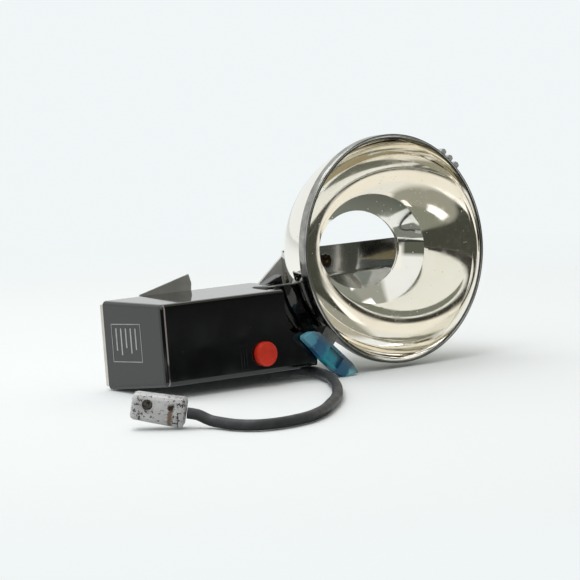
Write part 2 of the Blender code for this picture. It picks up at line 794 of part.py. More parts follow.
def make_rim_ring(parent, materials):
    """The ring round the bowl's edge, rolled into a bead at the front."""
    inner = BOWL_RADIUS + FIT
    outer = inner + RING_SHEET
    back = RIM_FRONT - BOWL_BAND
    bead = arc_points((outer - RING_BEAD / 2, RIM_FRONT), RING_BEAD, -45.0, 180.0, 8)
    lip = BOWL_RADIUS - BOWL_SHEET
    gap = RIM_FRONT + FIT
    front = [(lip, RIM_FRONT + RING_BEAD), (lip, gap), (inner, gap)]
    profile = [(inner, back), (outer, back)] + bead[:6] + front
    bm = turned_ring((BOWL_X, BOWL_Z), profile, BOWL_SEGMENTS)
    return smooth(add_object("rim_ring", bm, materials["ring"], parent))


def rim_place(angle_degrees, radial, tangent):
    """The (x, z) of a point near the rim, from its angle, radius and offset along the rim."""
    angle = math.radians(angle_degrees)
    x = BOWL_X + radial * math.cos(angle) - tangent * math.sin(angle)
    z = BOWL_Z + radial * math.sin(angle) + tangent * math.cos(angle)
    return x, z


def ring_outer():
    return BOWL_RADIUS + FIT + RING_SHEET + RING_BEAD / 2 + FIT


def make_rim_lugs(parent, materials):
    """Three knuckles on the rim, the outer pair and the middle one on separate leaves."""
    base = BOWL_RADIUS + FIT + RING_SHEET + FIT
    top = base + LUG_PROUD
    middle = RIM_FRONT - BOWL_BAND / 2
    half = LUG_WIDTH / 2
    side = top - LUG_EDGE
    corners = [(base, -half), (side, -half), (top, 0.0), (side, half), (base, half)]
    for k in range(3):
        angle = LUG_ANGLE + (k - 1) * LUG_PITCH
        outline = [rim_place(angle, radial, tangent) for radial, tangent in corners]
        bm = extrude_front(outline, middle - LUG_LENGTH / 2, middle + LUG_LENGTH / 2)
        add_object(f"rim_knuckle_{k + 1}", bm, materials["ring"], parent)


def clip_point(radial, tangent):
    """A point of the clip's outline, with tangent counted down along the rim."""
    return rim_place(CLIP_ANGLE, radial, tangent)


def clip_front():
    """The depth of the clip's front face: the clip passes just in front of the case."""
    return CASE_DEPTH + LOOSE_FIT + CLIP_THICK


def clip_low_corner():
    """The corner of the clip that meets the table."""
    return clip_point(CLIP_OUTER - CLIP_TAPER, CLIP_END)


def clip_outline():
    head = -CLIP_HEAD
    return [
        clip_point(CLIP_INNER, CLIP_START),
        clip_point(CLIP_INNER, CLIP_END),
        clip_point(CLIP_INNER + CLIP_TAPER, CLIP_NOSE),
        clip_low_corner(),
        clip_point(CLIP_OUTER, CLIP_CHANNEL_END),
        clip_point(CLIP_OUTER, CLIP_CHANNEL_START),
        clip_point(CLIP_OUTER - CLIP_TAPER, CLIP_START),
        clip_point(CLIP_OUTER - CLIP_TAPER, head + CLIP_TAPER),
        clip_point(CLIP_OUTER - 2 * CLIP_TAPER, head),
        clip_point(CLIP_HEAD_INNER, head + 2 * CLIP_TAPER),
    ]


def make_clip(parent, materials):
    """A moulded clip with a channel across its middle."""
    front = clip_front()
    back = front - CLIP_THICK
    clip = add_object("rim_clip", extrude_front(clip_outline(), back, front), materials["blue"], parent)
    add_bevel(clip, CLIP_EDGE, 1)
    low = CLIP_INNER + CLIP_CHANNEL_EDGE
    high = CLIP_OUTER - CLIP_CHANNEL_EDGE
    corners = [
        (low, CLIP_CHANNEL_START), (high, CLIP_CHANNEL_START),
        (high, CLIP_CHANNEL_END), (low, CLIP_CHANNEL_END),
    ]
    outline = [clip_point(radial, tangent) for radial, tangent in corners]
    channel = extrude_front(outline, front - CLIP_CHANNEL, front + CLIP_CHANNEL)
    add_boolean(clip, add_object("cut_clip_channel", channel, None, parent))
    return clip


def make_clip_block(parent, materials):
    """The metal block between the rim ring and the clip."""
    base = ring_outer()
    top = CLIP_INNER - FIT
    corners = [
        (base, CLIP_BLOCK_START), (top, CLIP_BLOCK_START), (top, CLIP_BLOCK_END), (base, CLIP_BLOCK_END),
    ]
    outline = [clip_point(radial, tangent) for radial, tangent in corners]
    front = clip_front() - CLIP_THICK / 2
    bm = extrude_front(outline, front - CLIP_BLOCK_DEPTH, front)
    return add_object("clip_block", bm, materials["foot"], parent)


def bridge_depth():
    """The depth of the bridge's front face, just behind the lowest point of the bowl."""
    return bowl_bottom() - BRIDGE_BEHIND


def bridge_back():
    return bridge_depth() - BRIDGE_SHEET


def bridge_top():
    return BOWL_Z + BRIDGE_TOP_RISE


def bridge_section():
    """The (depth, z) section: an upright wall, a bend at its foot and a lip towards the front."""
    face = bridge_depth()
    centre = (face + BRIDGE_BEND, bridge_top() - BRIDGE_HEIGHT)
    end = 180.0 + BRIDGE_BEND_ANGLE
    inner = arc_points(centre, BRIDGE_BEND, 180.0, end, 5)
    outer = arc_points(centre, BRIDGE_BEND + BRIDGE_SHEET, end, 180.0, 5)
    angle = math.radians(end)
    forward = -BRIDGE_LIP * math.sin(angle)
    down = BRIDGE_LIP * math.cos(angle)
    lip_inner = (inner[-1][0] + forward, inner[-1][1] + down)
    lip_outer = (outer[0][0] + forward, outer[0][1] + down)
    return [(face, bridge_top())] + inner + [lip_inner, lip_outer] + outer + [(bridge_back(), bridge_top())]


def make_bridge(parent, materials):
    """The polished strap that spans the bowl's opening from behind and carries the lamp socket."""
    left = BOWL_X - BRIDGE_REACH_IN
    right = BOWL_X + BRIDGE_REACH_OUT
    bm = extrude_along(bridge_section(), left, right)
    bridge = add_object("lamp_bridge", bm, materials["steel"], parent)
    top = bridge_top()
    legs = (("add_bridge_leg_inner", left, BRIDGE_REACH_IN - BRIDGE_SHEET),
            ("add_bridge_leg_outer", right - BRIDGE_SHEET, BRIDGE_REACH_OUT - BRIDGE_SHEET))
    for name, x, radial in legs:
        low = (x, bridge_back(), top - BRIDGE_LEG_HEIGHT)
        high = (x + BRIDGE_SHEET, bowl_back(radial) - FIT, top - BRIDGE_SHEET)
        add_boolean(bridge, add_object(name, box_mesh(low, high), None, parent), "UNION")
    radius = SOCKET_RADIUS + FIT
    ends = [(radius, bridge_back() - BRIDGE_SHEET), (radius, bridge_depth() + BRIDGE_SHEET)]
    add_boolean(bridge, add_object("cut_socket_hole", turned_front(socket_centre(), ends, 24), None, parent))
    return smooth(bridge)


def socket_centre():
    return BOWL_X, BOWL_Z - SOCKET_DROP


def make_socket(parent, materials):
    """The lamp socket behind the bridge: a flanged sleeve, an insulating disc and a contact."""
    centre = socket_centre()
    under = bridge_depth() + FIT
    front = under + SOCKET_FLANGE_THICK
    back = under - SOCKET_LENGTH
    bore = SOCKET_RADIUS - SOCKET_WALL
    flange = SOCKET_RADIUS + SOCKET_FLANGE
    profile = [
        (flange, under), (flange, front), (bore, front),
        (bore, back), (SOCKET_RADIUS, back), (SOCKET_RADIUS, under),
    ]
    smooth(add_object("socket_sleeve", turned_ring(centre, profile, 24), materials["steel"], parent))
    disc_radius = bore - FIT
    disc_front = back + INSULATOR_THICK
    disc = turned_front(centre, [(disc_radius, back), (disc_radius, disc_front)], 20)
    smooth(add_object("socket_insulator", disc, materials["fibre"], parent))
    seat = disc_front + FIT
    tip = seat + CONTACT_PIN_LENGTH
    rounding = CONTACT_PIN_RADIUS / 2
    pin_profile = [(CONTACT_PIN_RADIUS, seat), (CONTACT_PIN_RADIUS, tip - rounding), (rounding, tip)]
    pin = turned_front(centre, pin_profile, 12)
    smooth(add_object("socket_contact", pin, materials["brass"], parent))


def make_neck(parent, materials):
    """The moulded neck on the end of the case: its front follows the bowl, its back is open."""
    start = CASE_LENGTH + FIT
    back = bridge_back()
    end = start + NECK_FRONT[-1][0]
    front = [(start + x, depth) for x, depth in NECK_FRONT]
    body = [(start, back)] + front + [(end, back)]
    low_x = start + NECK_WALL
    high_x = end - NECK_WALL
    inside = [(min(max(x, low_x), high_x), depth - 1.5 * NECK_WALL) for x, depth in front]
    hollow = [(low_x, 2 * back)] + inside + [(high_x, 2 * back)]
    sections = [[(x, -depth, z) for x, depth in body] for z in (NECK_LOW, NECK_TOP)]
    neck = add_object("reflector_neck", loft_mesh(sections), materials["black"], parent)
    add_bevel(neck, NECK_EDGE, 1)
    walls = (NECK_LOW + NECK_WALL, NECK_TOP - NECK_WALL)
    sections = [[(x, -depth, z) for x, depth in hollow] for z in walls]
    add_boolean(neck, add_object("cut_neck_inside", loft_mesh(sections), None, parent))
    return smooth(neck)


def make_arm(parent, materials):
    """The strap that lies behind the neck and the bridge and ties them together."""
    left = CASE_LENGTH + ARM_START
    right = left + ARM_LENGTH
    high = bridge_top() - BRIDGE_SHEET
    outline = [
        (left, ARM_LOW),
        (left + ARM_WIDTH, ARM_LOW),
        (right, high - ARM_WIDTH),
        (right, high),
        (right - ARM_WIDTH, high),
        (left, ARM_LOW + ARM_WIDTH),
    ]
    front = bridge_back() - FIT
    bm = extrude_front(outline, front - ARM_SHEET, front)
    return add_object("reflector_arm", bm, materials["foot"], parent)


def sleeve_centre():
    """The (depth, z) of the sleeve's axis, which lies a set height over the table."""
    lean = lean_angle()
    return SLEEVE_DEPTH_PLACE, (SLEEVE_LIFT - SLEEVE_DEPTH_PLACE * math.sin(lean)) / math.cos(lean)


def sleeve_start():
    return CASE_LENGTH - SLEEVE_INSET - SLEEVE_LENGTH


def make_cord_sleeve(parent, materials):
    """The moulded sleeve that the cord leaves the case through, let into its lower side."""
    start = sleeve_start()
    end = start + SLEEVE_LENGTH
    profile = [
        (SLEEVE_RADIUS, start), (SLEEVE_RADIUS, end - SLEEVE_LIP), (SLEEVE_RADIUS - SLEEVE_LIP, end),
    ]
    bm = turned_along(sleeve_centre(), profile, 18)
    return smooth(add_object("cord_sleeve", bm, materials["cord"], parent))


def lean_angle():
    """How far the case leans back, from its lower back edge to the clip's lowest corner."""
    return math.atan2(-clip_low_corner()[1], clip_front())


def case_to_table(point):
    """A point of the case's frame in the table's frame, which share the case's lower back corner."""
    return Matrix.Rotation(-lean_angle(), 3, "X") @ Vector(point)


# The cord's route on the table, in metres from the case's lower back corner
CORD_ROUTE = (
    (0.1060, -0.0412, 0.0034),
    (0.1085, -0.0460, 0.0031),
    (0.1083, -0.0520, 0.0031),
    (0.1062, -0.0585, 0.0031),
    (0.1035, -0.0660, 0.0031),
    (0.0990, -0.0761, 0.0031),
    (0.0886, -0.0927, 0.0031),
    (0.0800, -0.1053, 0.0031),
    (0.0709, -0.1171, 0.0031),
    (0.0616, -0.1283, 0.0031),
    (0.0493, -0.1411, 0.0031),
    (0.0400, -0.1495, 0.0031),
    (0.0285, -0.1600, 0.0031),
    (0.0163, -0.1688, 0.0031),
    (0.0025, -0.1760, 0.0031),
    (-0.0165, -0.1797, 0.0031),
    (-0.0301, -0.1767, 0.0031),
    (-0.0371, -0.1675, 0.0031),
    (-0.0392, -0.1560, 0.0033),
    (-0.0415, -0.1500, 0.0041),
)
PLUG_END = (-0.0500, -0.1410)


def plug_matrix():
    """The plug's frame: +X out of its cord end, +Z up, its origin at the cord."""
    tilt = Matrix.Rotation(math.radians(PLUG_TILT), 4, "Y")
    place = Matrix.Translation((*PLUG_END, PLUG_HEIGHT / 2))
    return place @ Matrix.Rotation(math.radians(PLUG_TURN), 4, "Z") @ tilt


def cord_points():
    """The whole route: straight out of the sleeve, along the table and into the plug."""
    leave = sleeve_start() + SLEEVE_LENGTH + FIT
    depth, z = sleeve_centre()
    first = case_to_table((leave, -depth, z))
    second = case_to_table((leave + CORD_RADIUS, -depth, z))
    into = plug_matrix() @ Vector((FIT, 0.0, 0.0))
    before = plug_matrix() @ Vector((2 * CORD_RADIUS, 0.0, 0.0))
    return [first, second] + [Vector(point) for point in CORD_ROUTE] + [before, into]


def smooth_route(points, step):
    """Reads points off a smooth curve through the given ones, about one step apart."""
    result = []
    for k in range(len(points) - 1):
        a = points[max(k - 1, 0)]
        b = points[k]
        c = points[k + 1]
        d = points[min(k + 2, len(points) - 1)]
        count = max(1, round((c - b).length / step))
        for i in range(count):
            t = i / count
            square = 2 * a - 5 * b + 4 * c - d
            cube = 3 * b - a - 3 * c + d
            result.append((2 * b + (c - a) * t + square * t * t + cube * t ** 3) / 2)
    return result + [points[-1]]


def make_cord(parent, materials):
    curve = bpy.data.curves.new("cord", "CURVE")
    curve.dimensions = "3D"
    curve.bevel_depth = CORD_RADIUS
    curve.bevel_resolution = 2
    curve.use_fill_caps = True
    points = smooth_route(cord_points(), CORD_STEP)
    spline = curve.splines.new("POLY")
    spline.points.add(len(points) - 1)
    for slot, point in zip(spline.points, points):
        slot.co = (*point, 1.0)
    cord = bpy.data.objects.new("cord", curve)
    bpy.context.scene.collection.objects.link(cord)
    cord.parent = parent
    curve.materials.append(materials["cord"])
    return cord


def plug_section(x, height):
    side = PLUG_THICK / 2
    half = height / 2
    return [(x, -side, -half), (x, side, -half), (x, side, half), (x, -side, half)]


def make_plug(parent, materials):
    """The plug: a tapered block with a round socket across it and a pin in the socket."""
    back = -PLUG_LENGTH - FIT
    half_thick = PLUG_THICK / 2
    bm = loft_mesh([plug_section(back, PLUG_FAR_HEIGHT), plug_section(-FIT, PLUG_HEIGHT)])
    plug = add_object("plug_body", bm, materials["plug"], parent)
    add_bevel(plug, PLUG_EDGE, 2)
    place = (back + PLUG_HOLE_PLACE, PLUG_HOLE_RISE)
    hole_floor = half_thick - PLUG_HOLE_DEPTH
    bore = turned_front(place, [(PLUG_HOLE_RADIUS, hole_floor), (PLUG_HOLE_RADIUS, PLUG_THICK)], 20)
    add_boolean(plug, add_object("cut_plug_socket", bore, None, parent))
    tip = half_thick - PLUG_PIN_RADIUS
    pin_profile = [
        (PLUG_PIN_RADIUS, hole_floor + FIT), (PLUG_PIN_RADIUS, tip - PLUG_PIN_RADIUS),
        (PLUG_PIN_RADIUS / 2, tip),
    ]
    pin = add_object("plug_pin", turned_front(place, pin_profile, 10), materials["brass"], parent)
    smooth(pin)
    smooth(plug)


def add_empty(name):
    empty = bpy.data.objects.new(name, None)
    bpy.context.scene.collection.objects.link(empty)
    return empty


CORD_NODES = ("cord", "plug_body", "plug_pin")


def world_corners(obj, depsgraph):
    mesh = obj.evaluated_get(depsgraph).to_mesh()
    return [obj.matrix_world @ vertex.co for vertex in mesh.vertices]


def centre_on_origin(frames):
    """Moves the table's frame so that the flashgun's box stands centred on the origin."""
    bpy.context.view_layer.update()
    depsgraph = bpy.context.evaluated_depsgraph_get()
    corners = []
    for obj in bpy.context.scene.objects:
        if obj.type == "MESH" and not obj.hide_render and obj.name not in CORD_NODES:
            corners.extend(world_corners(obj, depsgraph))
    middle_x = (min(c.x for c in corners) + max(c.x for c in corners)) / 2
    middle_y = (min(c.y for c in corners) + max(c.y for c in corners)) / 2
    lowest = min(c.z for c in corners)
    for frame in frames:
        frame.location -= Vector((middle_x, middle_y, lowest))
    bpy.context.view_layer.update()


def main():
    clear_scene()
    materials = make_materials()
    case_frame = add_empty("case_frame")
    case_frame.rotation_euler = (-lean_angle(), 0.0, 0.0)
    table_frame = add_empty("table_frame")
    plug_frame = add_empty("plug_frame")
    plug_frame.parent = table_frame
    plug_frame.matrix_local = plug_matrix()
    for make in (
        make_case, make_ear, make_back_plate, make_cover_screws, make_mounting_foot, make_foot_rivets,
        make_button, make_board, make_board_posts, make_button_spring, make_blades, make_capacitor,
        make_capacitor_strap, make_resistor, make_bowl, make_rim_ring, make_rim_lugs, make_clip,
        make_clip_block, make_bridge, make_socket, make_neck, make_arm, make_cord_sleeve,
    ):
        make(case_frame, materials)
    battery_start, battery_low = make_battery(case_frame, materials)
    make_battery_contacts(case_frame, materials, battery_start, battery_low)
    make_cord(table_frame, materials)
    make_plug(plug_frame, materials)
    centre_on_origin((case_frame, table_frame))


main()
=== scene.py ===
"""The looks of a bulb flashgun with a mirror-bright bowl, lying on its side on a white table."""

import math

import bmesh
import bpy
from mathutils import Matrix, Vector


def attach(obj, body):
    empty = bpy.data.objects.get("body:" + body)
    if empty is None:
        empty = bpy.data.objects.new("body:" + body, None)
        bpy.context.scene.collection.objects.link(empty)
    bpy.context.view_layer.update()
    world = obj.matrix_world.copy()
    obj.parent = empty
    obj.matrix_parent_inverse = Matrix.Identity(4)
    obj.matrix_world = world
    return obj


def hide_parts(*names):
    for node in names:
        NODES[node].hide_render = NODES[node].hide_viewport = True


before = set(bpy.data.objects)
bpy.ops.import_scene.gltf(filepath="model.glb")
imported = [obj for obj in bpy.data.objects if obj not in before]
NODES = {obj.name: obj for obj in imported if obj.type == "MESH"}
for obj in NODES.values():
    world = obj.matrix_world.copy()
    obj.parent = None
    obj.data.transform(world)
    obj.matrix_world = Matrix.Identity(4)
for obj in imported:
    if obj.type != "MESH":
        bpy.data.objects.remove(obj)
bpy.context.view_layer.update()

# The case's frame in the model's frame: x along the case, depth to the front, z up its side
LEAN = math.radians(4.85776)
CASE_ORIGIN = Vector((-0.117614, 0.016787, 0.000326))
CASE_MATRIX = Matrix.Translation(CASE_ORIGIN) @ Matrix.Rotation(-LEAN, 4, "X")
CASE_LENGTH = 0.1075
CASE_WIDTH = 0.0503
CASE_DEPTH = 0.0558

# The pale line painted along the case's upright edge between its end and its front, a painted
# highlight of the rounded edge
EDGE_HIGHLIGHT_PLACE = 0.0023
EDGE_HIGHLIGHT_WIDTH = 0.00028
EDGE_HIGHLIGHT_DEPTH = 0.0012
EDGE_HIGHLIGHT_SCALE = 110.0

# The frame and bars on the case's end
PANEL_PROUD = 0.0002
PANEL_SUNK = 0.0004
PANEL_DEPTHS = (0.0069, 0.0349)
PANEL_HEIGHTS = (0.0160, 0.0375)
PANEL_LINE = 0.0004
BAR_LENGTHS = (0.0125, 0.0150, 0.0110, 0.0140, 0.0120)
BAR_START = 0.0040
BAR_STEP = 0.0046
BAR_WIDTH = 0.0011
BAR_DROP = 0.0025

# The ribs on the case's front
RIB_COUNT = 3
RIB_START = 0.0523
RIB_STEP = 0.0020
RIB_WIDTH = 0.0009
RIB_HEIGHTS = (0.0060, 0.0200)
RIB_SUNK = 0.0004
RIB_PROUD = 0.00025
RIB_EDGE = 0.00012

# The corner pocket of the case and the web in it
POCKET_LENGTH = 0.0215
POCKET_FLOOR = 0.025
POCKET_HEIGHT = 0.0225
WEB_THICK = 0.014
WEB_GAP = 0.0004
WEB_LOW = 0.0170
WEB_EDGE = 0.0012
WEB_CORNER = 0.004
WEB_STEPS = 10

# The reflector and its rim band, in the case's frame
BOWL_X = 0.1688
BOWL_Z = 0.0637
RIM_FRONT = 0.0565
BOWL_RADIUS = 0.0644
BOWL_BAND = 0.006
BOWL_DEPTH = 0.060
BOWL_SHEET = 0.0008
BOWL_CURVE_START = math.radians(10.0)
BOWL_TURNS = 160
BOWL_STEPS = 44
OPENING_RADIUS = 0.023
OPENING_OFFSET = 0.0181
OPENING_DROP = 0.0017
RING_GAP = 0.0003
RING_SHEET = 0.0012
RING_TURNS = 168
BEAD_RADIUS = 0.0007
BEAD_INSET = 0.0005
BEAD_START = -35.0
BEAD_END = 190.0
BEAD_STEPS = 10
GROOVE = 0.0002
GROOVE_BACK = 0.0016
GROOVE_FRONT = 0.0012

# The clip on the rim: its angle round the bowl, its reach along the rim with a band of colour
# at each share of that, and the radii between which its channel starts
CLIP_ANGLE = math.radians(227.4)
CLIP_REACH = (-0.026, 0.018)
CLIP_BANDS = (
    (0.00, (0.17, 0.46, 0.58)), (0.17, (0.11, 0.40, 0.55)), (0.22, (0.030, 0.13, 0.26)),
    (0.36, (0.030, 0.17, 0.32)), (0.42, (0.030, 0.40, 0.52)), (0.62, (0.030, 0.38, 0.50)),
    (0.68, (0.030, 0.14, 0.26)), (0.84, (0.035, 0.16, 0.28)), (0.88, (0.26, 0.62, 0.70)),
    (1.00, (0.36, 0.70, 0.76)),
)
CLIP_CHANNEL = (0.0785, 0.0755)

# The cord, whose route is given from the case's lower back corner on the table
CORD_RADIUS = 0.003
CORD_STEP = 0.0025
SLEEVE_END = (0.0973, -0.039, 0.0037)
CORD_ROUTE = (
    (0.1060, -0.0412, 0.0034), (0.1085, -0.0460, 0.0031), (0.1083, -0.0520, 0.0031),
    (0.1062, -0.0585, 0.0031), (0.1035, -0.0660, 0.0031), (0.0990, -0.0761, 0.0031),
    (0.0886, -0.0927, 0.0031), (0.0800, -0.1053, 0.0031), (0.0709, -0.1171, 0.0031),
    (0.0616, -0.1283, 0.0031), (0.0493, -0.1411, 0.0031), (0.0400, -0.1495, 0.0031),
    (0.0285, -0.1600, 0.0031), (0.0163, -0.1688, 0.0031), (0.0025, -0.1760, 0.0031),
    (-0.0165, -0.1797, 0.0031), (-0.0301, -0.1767, 0.0031), (-0.0371, -0.1675, 0.0031),
    (-0.0392, -0.1560, 0.0033), (-0.0415, -0.1500, 0.0041),
)
PLUG_END = (-0.0500, -0.1410, 0.0080)
PLUG_TILT = math.radians(10.0)
PLUG_TURN = math.radians(-42.0)
PLUG_GAP = 0.0003

# The plug's recess, painted dark as its rust and its shade, and the rusty run below it: centre and
# half size, with one soft margin, and the distances in front of its middle between which they
# appear
PLUG_RECESS = ((-0.0082, 0.0024), (0.0010, 0.0010))
PLUG_RUN = ((-0.0080, -0.0030), (0.0007, 0.0045))
PLUG_SOFT = 0.0012
PLUG_FACE = (0.004, 0.0055)

# The camera in the case's frame, set by matching the photograph's corners
VIEW_PLACE = Vector((-1.286842, -1.851985, 0.179836))
VIEW_RIGHT = Vector((0.78807, -0.610288, -0.080587))
VIEW_UP = Vector((0.099479, -0.002934, 0.995035))
VIEW_LENS = 249.06

BACKGROUND = (0.877, 0.921, 0.930)

# The white sheet on the table, which ends in front of the object, and what lies beyond it.
# The sheet fades to the background from one to two times SHADOW_REACH away from the object
TABLE_REACH = 14.0
FLOOR_NEAR = (0.90, 0.92, 0.925)
FLOOR_FAR = (0.06, 0.06, 0.055)
SHADOW_REACH = 0.35
REFLECTED_FILL = 0.20
SHEET_END = -0.60
SHEET_SOFT = 0.10

# Patches of painted shade on the sheet, which only reflections show: centre, half size and colour
SHADE_CARDS = (
    ((0.080, -0.064), (0.078, 0.034), (0.20, 0.215, 0.19)),
    ((-0.38, -0.26), (0.30, 0.175), (0.20, 0.215, 0.19)),
    ((0.150, 0.100), (0.110, 0.080), (0.34, 0.29, 0.18)),
)
SHADE_CARD_SOFT = 0.006

# What the room shows to a reflection: azimuth to the right of the front and height, in
# degrees, as centre, half size and soft margin, then its colour
WHITE_ROOM = (0.88, 0.90, 0.90)
ROOM_ZONES = (
    ((8.0, 50.0), (30.0, 22.0), 9.0, (0.34, 0.35, 0.31)),
    ((48.0, 45.0), (22.0, 19.0), 8.0, (0.25, 0.27, 0.23)),
    ((-40.0, 16.0), (8.0, 10.0), 5.0, (0.95, 0.94, 0.88)),
    ((-40.0, -6.0), (9.0, 7.0), 4.0, (0.16, 0.15, 0.12)),
    ((-66.0, -4.0), (12.0, 15.0), 5.0, (0.10, 0.11, 0.085)),
    ((24.0, 12.5), (50.0, 12.0), 3.5, (0.062, 0.067, 0.056)),
    ((100.0, 30.0), (12.0, 40.0), 8.0, (0.45, 0.42, 0.33)),
    ((17.0, 38.0), (7.0, 6.0), 2.5, (1.7, 1.7, 1.7)),
    ((18.0, 65.0), (14.0, 3.5), 3.0, (1.4, 1.4, 1.4)),
    ((-27.0, 19.0), (2.5, 7.0), 2.0, (1.3, 1.3, 1.3)),
)

LAMP_PLACE = Vector((-0.3, 0.2, 1.4))
LAMP_AIM = Vector((0.0, 0.0, 0.05))
LAMP_SIZE = (1.2, 0.9)
LAMP_POWER = 8.0

# The two tones that a material drifts between, and where a noise passes from one to the other
TONES = {
    "plate": ((0.62, 0.59, 0.53), (0.52, 0.50, 0.45)),
    "foot": ((0.60, 0.59, 0.57), (0.46, 0.455, 0.44)),
    "steel": ((0.70, 0.70, 0.69), (0.60, 0.60, 0.58)),
    "bowl": ((0.950, 0.922, 0.858), (0.936, 0.902, 0.825)),
    "ring": ((0.42, 0.415, 0.39), (0.26, 0.255, 0.24)),
    "red": ((0.70, 0.038, 0.014), (0.58, 0.026, 0.010)),
    "print": ((0.42, 0.41, 0.41), (0.30, 0.29, 0.29)),
    "cord": ((0.042, 0.044, 0.048), (0.028, 0.029, 0.031)),
    "plug": ((0.66, 0.66, 0.66), (0.48, 0.46, 0.465)),
    "brass": ((0.60, 0.44, 0.20), (0.42, 0.30, 0.13)),
    "fibre": ((0.16, 0.085, 0.045), (0.10, 0.05, 0.03)),
    "battery": ((0.09, 0.13, 0.30), (0.06, 0.09, 0.22)),
    "can": ((0.55, 0.56, 0.57), (0.45, 0.46, 0.47)),
}
DRIFT = (0.35, 0.70)

# Single colours
BLACK = (0.0018, 0.0024, 0.0028)
# Pale specks of dust on the black, and the painted highlight along the case's edge
BLACK_DUST_AND_HIGHLIGHT = (0.34, 0.30, 0.29)
MIRROR_SPOTS = (0.25, 0.22, 0.15)
CLIP_INSIDE = (0.13, 0.17, 0.19)
PLUG_BARE = (0.045, 0.04, 0.045)
RUST_RUN = (0.20, 0.14, 0.10)
# Near black in the plug's recess: its rust with the shade of the recess painted in
RUST_AND_SHADE_RECESS = (0.035, 0.016, 0.010)

# The material of each CAD node
NODE_MATERIALS = {
    "case_shell": "case", "case_ear": "black", "back_plate": "plate",
    "cover_screw_1": "plate", "cover_screw_2": "plate", "mounting_foot": "foot",
    "foot_rivet_1": "steel", "foot_rivet_2": "steel", "foot_rivet_3": "steel",
    "foot_rivet_4": "steel",
    "push_button": "red", "button_spring": "steel", "terminal_board": "fibre",
    "board_post_1": "brass", "board_post_2": "brass",
    "switch_blade_lower": "brass", "switch_blade_upper": "brass",
    "battery": "battery", "battery_contact_end": "brass", "battery_contact_inner": "brass",
    "capacitor": "can", "capacitor_strap": "foot", "resistor": "fibre",
    "reflector_bowl": "bowl", "rim_ring": "ring",
    "rim_knuckle_1": "foot", "rim_knuckle_2": "foot", "rim_knuckle_3": "foot",
    "rim_clip": "blue", "clip_block": "ring", "lamp_bridge": "steel",
    "socket_sleeve": "steel", "socket_insulator": "fibre", "socket_contact": "brass",
    "reflector_neck": "black", "reflector_arm": "foot", "cord_sleeve": "cord", "cord": "cord",
    "plug_body": "plug", "plug_pin": "brass",
}


# Frames and camera

def case_point(x, depth, z):
    return CASE_MATRIX @ Vector((x, -depth, z))


def case_way(x, depth, z):
    return CASE_MATRIX.to_3x3() @ Vector((x, -depth, z))


def plug_frame():
    """The plug's frame: +X out of its cord end, its origin where the cord enters it."""
    place = Matrix.Translation(CASE_ORIGIN + Vector(PLUG_END))
    return place @ Matrix.Rotation(PLUG_TURN, 4, "Z") @ Matrix.Rotation(PLUG_TILT, 4, "Y")


def link_object(name, data):
    made = bpy.data.objects.new(name, data)
    bpy.context.scene.collection.objects.link(made)
    return made


def make_camera():
    data = bpy.data.cameras.new("camera")
    data.lens = VIEW_LENS
    data.sensor_width = 36.0
    data.clip_end = 50.0
    camera = link_object("camera", data)
    turn = Matrix((VIEW_RIGHT, VIEW_UP, VIEW_RIGHT.cross(VIEW_UP))).transposed().to_4x4()
    camera.rotation_mode = "QUATERNION"
    camera.matrix_world = CASE_MATRIX @ Matrix.Translation(VIEW_PLACE) @ turn
    bpy.context.scene.camera = camera


# Cord

def cord_points():
    """The route's own points: out of the sleeve, along the table and into the plug."""
    first = CASE_ORIGIN + Vector(SLEEVE_END)
    second = first + Vector((CORD_RADIUS, 0.0, 0.0))
    plug = plug_frame()
    before = plug @ Vector((2 * CORD_RADIUS, 0.0, 0.0))
    into = plug @ Vector((PLUG_GAP, 0.0, 0.0))
    return [first, second] + [CASE_ORIGIN + Vector(point) for point in CORD_ROUTE] + [before, into]


def smooth_route(points, step):
    """Reads points off a smooth curve through the given ones, about one step apart."""
    result = []
    for k in range(len(points) - 1):
        a = points[max(k - 1, 0)]
        b = points[k]
        c = points[k + 1]
        d = points[min(k + 2, len(points) - 1)]
        count = max(1, round((c - b).length / step))
        for i in range(count):
            t = i / count
            square = 2 * a - 5 * b + 4 * c - d
            cube = 3 * b - a - 3 * c + d
            result.append((2 * b + (c - a) * t + square * t * t + cube * t ** 3) / 2)
    return result + [points[-1]]


def make_cord(materials):
    points = smooth_route(cord_points(), CORD_STEP)
    curve = bpy.data.curves.new("sync_cord", "CURVE")
    curve.dimensions = "3D"
    curve.bevel_depth = CORD_RADIUS
    curve.bevel_resolution = 6
    curve.use_fill_caps = True
    spline = curve.splines.new("POLY")
    spline.points.add(len(points) - 1)
    for slot, point in zip(spline.points, points):
        slot.co = (*point, 1.0)
    spline.use_smooth = True
    curve.materials.append(materials["cord"])
    cord = link_object("sync_cord", curve)
    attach(cord, "housing")
    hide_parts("cord")


# Node helpers

def new_material(name):
    material = bpy.data.materials.new(name)
    material.use_nodes = True
    tree = material.node_tree
    return material, tree, tree.nodes["Principled BSDF"]


def wire(tree, shader, colour, roughness, normal=None):
    tree.links.new(colour, shader.inputs["Base Color"])
    tree.links.new(roughness, shader.inputs["Roughness"])
    if normal:
        tree.links.new(normal, shader.inputs["Normal"])


def add(tree, kind, values=None, links=None, **settings):
    """Adds a node, sets its properties and sockets, and links outputs into its inputs."""
    made = tree.nodes.new(kind)
    for key, value in settings.items():
        setattr(made, key, value)
    for key, value in (values or {}).items():
        made.inputs[key].default_value = value
    for key, source in (links or {}).items():
        tree.links.new(source, made.inputs[key])
    return made


def object_coords(tree, scale=(1.0, 1.0, 1.0)):
    coords = add(tree, "ShaderNodeTexCoord")
    mapping = add(
        tree, "ShaderNodeMapping", {"Scale": scale}, {"Vector": coords.outputs["Object"]},
    )
    return mapping.outputs["Vector"]


def noise(tree, scale, detail=3.0, rough=0.5, stretch=(1.0, 1.0, 1.0)):
    made = add(
        tree, "ShaderNodeTexNoise", {"Scale": scale, "Detail": detail, "Roughness": rough},
        {"Vector": object_coords(tree, stretch)},
    )
    return made.outputs["Fac"]


